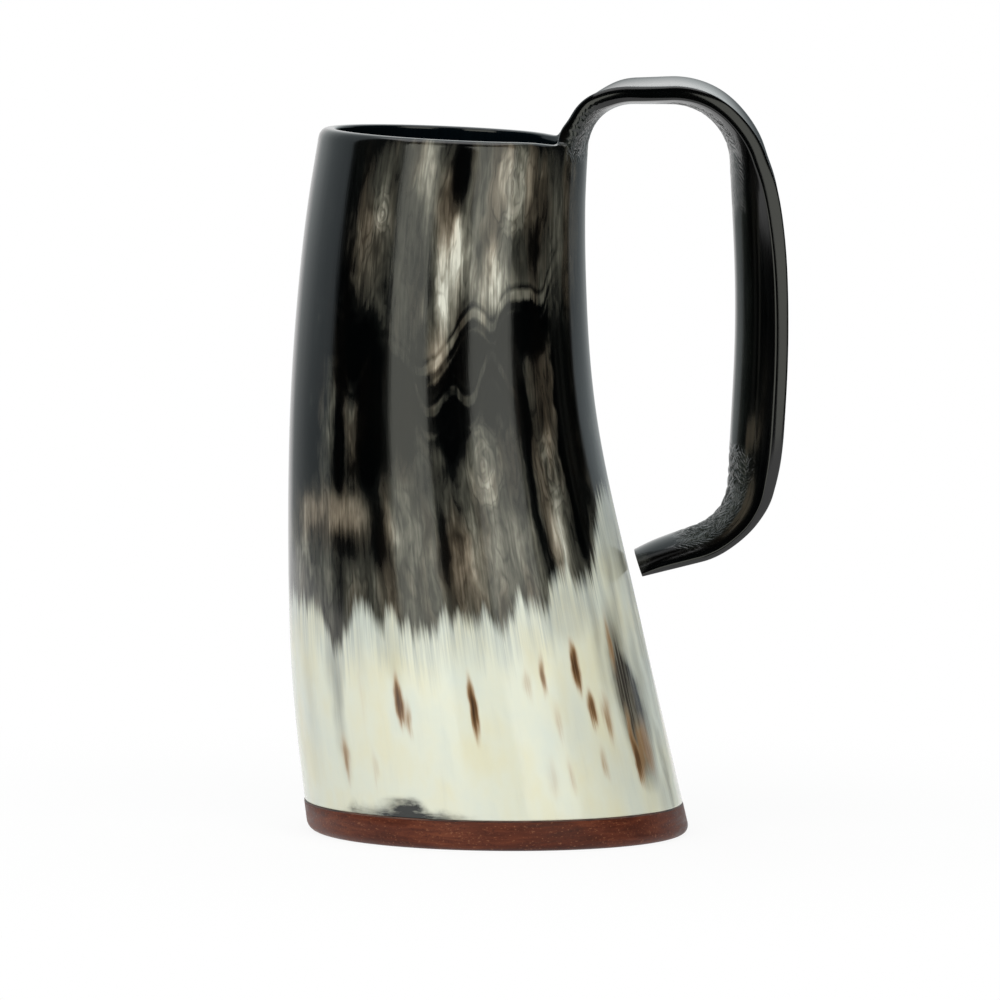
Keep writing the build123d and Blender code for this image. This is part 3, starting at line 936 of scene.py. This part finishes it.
def base_wood_material():
    """Reddish hardwood of the base: fine wavy grain, dark pores and light flecks, waxed."""
    made, recipe, shader = material("base_wood")
    place = recipe.place()
    bend = recipe.noise(place, (35, 35, 120), 2, 0.5, (5, 0, 0))
    level = recipe.vector("MULTIPLY_ADD", recipe.join(0.0, 0.0, bend), (0, 0, 0.004), place)
    grain = recipe.noise(level, (90, 220, 1300), 5, 0.65)
    tone = recipe.noise(place, (45, 60, 160), 3, 0.55, (3, 0, 0))
    speckle = recipe.noise(place, (1300, 1500, 2600), 2, 0.6, (0, 9, 0))
    colour = recipe.ramp(recipe.scaled(grain, 0.5, recipe.times(tone, 0.5)), WOOD)
    colour = recipe.mix(recipe.span(speckle, 0.42, 0.30, 0.0, 0.6), colour, WOOD_PORE)
    colour = recipe.mix(recipe.span(speckle, 0.60, 0.72, 0.0, 0.55), colour, WOOD_FLECK)
    recipe.give(
        shader, Base_Color=colour, Roughness=recipe.span(grain, 0.3, 0.7, 0.36, 0.50), Specular_IOR_Level=0.2,
        Normal=recipe.bump(recipe.plus(grain, speckle), 0.25, 0.0001),
    )
    return made


def cloudy_material(name, stretch, rough, stops, roughness):
    """A plain material, a little uneven in its colour and its polish."""
    made, recipe, shader = material(name)
    cloudy = recipe.noise(recipe.place(), stretch, 3, rough)
    polish = recipe.span(cloudy, 0.3, 0.7, *roughness)
    recipe.give(shader, Base_Color=recipe.ramp(cloudy, stops), Roughness=polish)
    return made


def dress(piece, look):
    """Gives the piece one material."""
    piece.data.materials.clear()
    piece.data.materials.append(look)


# Dark reddish adhesive in the joint, and dark amber resin of the bead inside the cup
GLUE = ((0.35, (0.020, 0.010, 0.008)), (0.65, (0.150, 0.070, 0.050)))
RESIN = ((0.3, (0.020, 0.010, 0.005)), (0.7, (0.070, 0.034, 0.014)))
dress(horn, horn_material())
dress(base, base_wood_material())
dress(glue, cloudy_material("glue_dark", (160, 160, 400), 0.6, GLUE, (0.45, 0.65)))
dress(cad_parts["seal_bead"], cloudy_material("bead_resin", (90, 90, 200), 0.5, RESIN, (0.12, 0.22)))

# Light, floor and camera, in metres. The lamps are turned to the middle of the cup.
MIDDLE = Vector((0, 0, 0.08))


def softbox(name, place, width, height, strength, colour=(1, 1, 1)):
    """Soft lamp of a size, turned to the cup; strength is its brightness, where 1 is white."""
    lamp = bpy.data.lights.new(name, "AREA")
    lamp.shape = "RECTANGLE"
    lamp.size, lamp.size_y = width, height
    lamp.energy = strength * pi * width * height
    lamp.color = colour
    stand = bpy.data.objects.new(name, lamp)
    facing = (Vector(place) - MIDDLE).to_track_quat("Z", "Y").to_matrix().to_4x4()
    stand.matrix_world = Matrix.Translation(place) @ facing
    bpy.context.scene.collection.objects.link(stand)
    return stand


softbox("left_box", (-0.506, -1.09, 0.45), 0.635, 1.5, 1.58, (1, 1.02, 0.90))
softbox("right_box", (0.7196, -0.9608, 0.45), 0.77, 1.5, 1.45, (1, 1.02, 0.92))
softbox("top_box", (0.0, 0.15, 1.5), 1.3, 1.0, 1.5)
fill = softbox("fill_box", (-0.30, -0.90, 1.30), 2.0, 1.3, 1.85)
fill.visible_glossy = False

# The room by the share of its heading that points behind the cup: dark on the camera's side, white behind
BEHIND = (-0.2075, 0.978, 0)
ROOM = (
    (0.20, (0.005, 0.006, 0.007)), (0.27, (0.48, 0.55, 0.58)), (0.65, (0.54, 0.61, 0.63)),
    (1.0, (0.93, 0.98, 0.98)),
)
FLOOR_RADIUS = 0.6


def show_white(recipe, share, first, second):
    """Output of the first shader, with a share of the second, which shows as white."""
    return recipe.fill(recipe.node("MixShader"), (share, first.outputs[0], second.outputs[0]))[0]


def studio_room():
    """The world: white to the camera and where the polish mirrors the backdrop, dimmer below the horizon."""
    world = bpy.context.scene.world or bpy.data.worlds.new("studio")
    bpy.context.scene.world = world
    world.use_nodes = True
    world.node_tree.nodes.clear()
    recipe = Recipe(world.node_tree)
    heading = recipe.node("TexCoord").outputs["Generated"]
    behind = recipe.vector("DOT_PRODUCT", heading, BEHIND)
    room, white = recipe.node("Background"), recipe.node("Background")
    above = recipe.span(recipe.split(heading)["Z"], -0.12, 0.06, 0.50, 1.0)
    recipe.give(room, Color=recipe.ramp(behind, ROOM), Strength=above)
    recipe.give(white, Color=(1, 1, 1, 1))
    path = recipe.node("LightPath").outputs
    seen = recipe.times(path["Is Glossy Ray"], recipe.span(behind, 0.93, 0.99))
    for ray in ("Is Camera Ray", "Is Transmission Ray"):
        seen = recipe.maths("MAXIMUM", seen, path[ray])
    recipe.give(recipe.node("OutputWorld"), Surface=show_white(recipe, seen, room, white))


def floor_material():
    """White floor that keeps a soft shadow near the cup and fades into the white behind it."""
    made, recipe, shader = material("floor_white")
    recipe.give(shader, Base_Color=(0.9, 0.9, 0.9, 1), Roughness=0.9, Specular_IOR_Level=0)
    away = recipe.vector("LENGTH", recipe.place())
    path = recipe.node("LightPath").outputs
    seen = path["Is Camera Ray"]
    for ray in ("Is Glossy Ray", "Is Transmission Ray"):
        seen = recipe.maths("MAXIMUM", seen, path[ray])
    seen = recipe.times(recipe.span(away, 0.04, 0.22, 0.90, 1.0), seen)
    shown = show_white(recipe, seen, shader, recipe.node("Emission"))
    recipe.give(made.node_tree.nodes["Material Output"], Surface=shown)
    return made


studio_room()
bm = bmesh.new()
bmesh.ops.create_circle(bm, cap_ends=True, segments=64, radius=FLOOR_RADIUS)
floor_mesh = bpy.data.meshes.new("floor")
bm.to_mesh(floor_mesh)
bm.free()
floor = link("floor", floor_mesh)
dress(floor, floor_material())

# Camera: its place, lens, sensor and roll. Its pitch puts the centre of the cup's foot so many pixels below
# the middle of the picture, with the lens given in pixels too.
EYE = (-0.00047, -3.5, 0.417)
LENS, SENSOR, ROLL = 578.5, 36, radians(0.55)
FOOT_PIXELS, LENS_PIXELS = 330.5, 16070
camera = bpy.data.cameras.new("camera")
camera.lens, camera.sensor_width = LENS, SENSOR
camera.clip_end = 50
eye = bpy.data.objects.new("camera", camera)
pitch = atan2(EYE[2], -EYE[1]) - atan2(FOOT_PIXELS, LENS_PIXELS)
eye.matrix_world = (
    Matrix.Translation(EYE) @ Matrix.Rotation(pi / 2 - pitch, 4, "X") @ Matrix.Rotation(ROLL, 4, "Z")
)
bpy.context.scene.collection.objects.link(eye)
bpy.context.scene.camera = eye
bpy.context.scene.view_settings.view_transform = "Standard"

bpy.context.view_layer.update()
